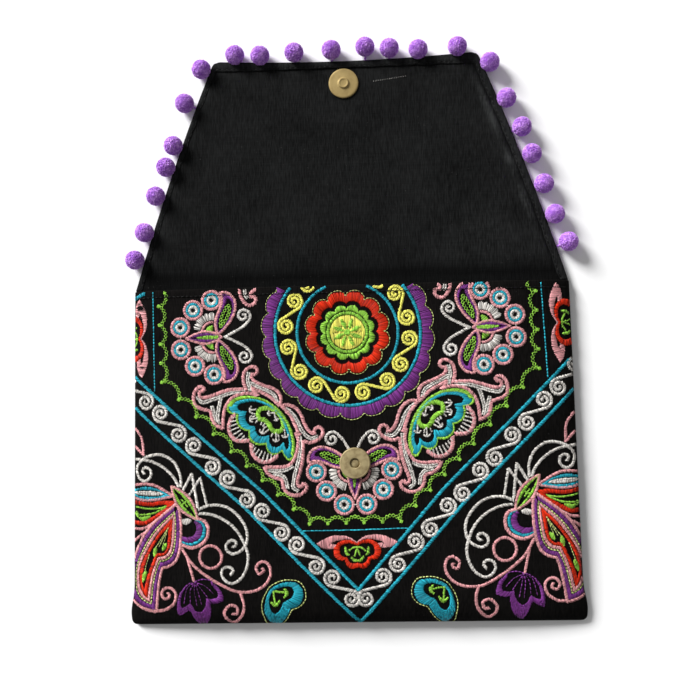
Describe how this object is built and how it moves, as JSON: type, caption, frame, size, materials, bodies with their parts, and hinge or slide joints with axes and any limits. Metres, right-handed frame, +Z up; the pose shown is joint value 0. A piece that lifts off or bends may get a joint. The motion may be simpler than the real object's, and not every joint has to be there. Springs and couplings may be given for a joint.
{
  "type": "embroidered clutch bag",
  "caption": "Black cloth envelope clutch with a colourful embroidered front, a trapezium flap trimmed with violet pompoms, lying open on its back, closed by a magnetic snap.",
  "frame": {"origin": "middle of the bounding box's bottom face, on the surface that the bag lies on", "axes": "+X to the bag's right as its front is seen, +Y from the pouch's bottom fold towards the flap's top edge, +Z up off the surface"},
  "size_m": [0.2706, 0.3488, 0.0172],
  "materials": {
    "outer_cotton": "matt black cotton, embroidered on the front",
    "lining_cotton": "matt black slubby cotton",
    "stud_brass": "satin antique brass",
    "socket_bronze": "dull antique brass",
    "pompom_yarn": "clipped violet yarn"
  },
  "bodies": {
    "root": {"front_panel": "outer_cotton", "back_and_flap": "outer_cotton", "flap_lining": "lining_cotton", "hem_left": "lining_cotton", "hem_top": "lining_cotton", "hem_right": "lining_cotton", "snap_stud": "stud_brass", "snap_socket": "socket_bronze", "pompom_01": "pompom_yarn", "pompom_02": "pompom_yarn", "pompom_03": "pompom_yarn", "pompom_04": "pompom_yarn", "pompom_05": "pompom_yarn", "pompom_06": "pompom_yarn", "pompom_07": "pompom_yarn", "pompom_08": "pompom_yarn", "pompom_09": "pompom_yarn", "pompom_10": "pompom_yarn", "pompom_11": "pompom_yarn", "pompom_12": "pompom_yarn", "pompom_13": "pompom_yarn", "pompom_14": "pompom_yarn", "pompom_15": "pompom_yarn", "pompom_16": "pompom_yarn", "pompom_17": "pompom_yarn", "pompom_18": "pompom_yarn", "pompom_19": "pompom_yarn", "pompom_20": "pompom_yarn", "pompom_21": "pompom_yarn", "pompom_22": "pompom_yarn"}
  },
  "joints": []
}
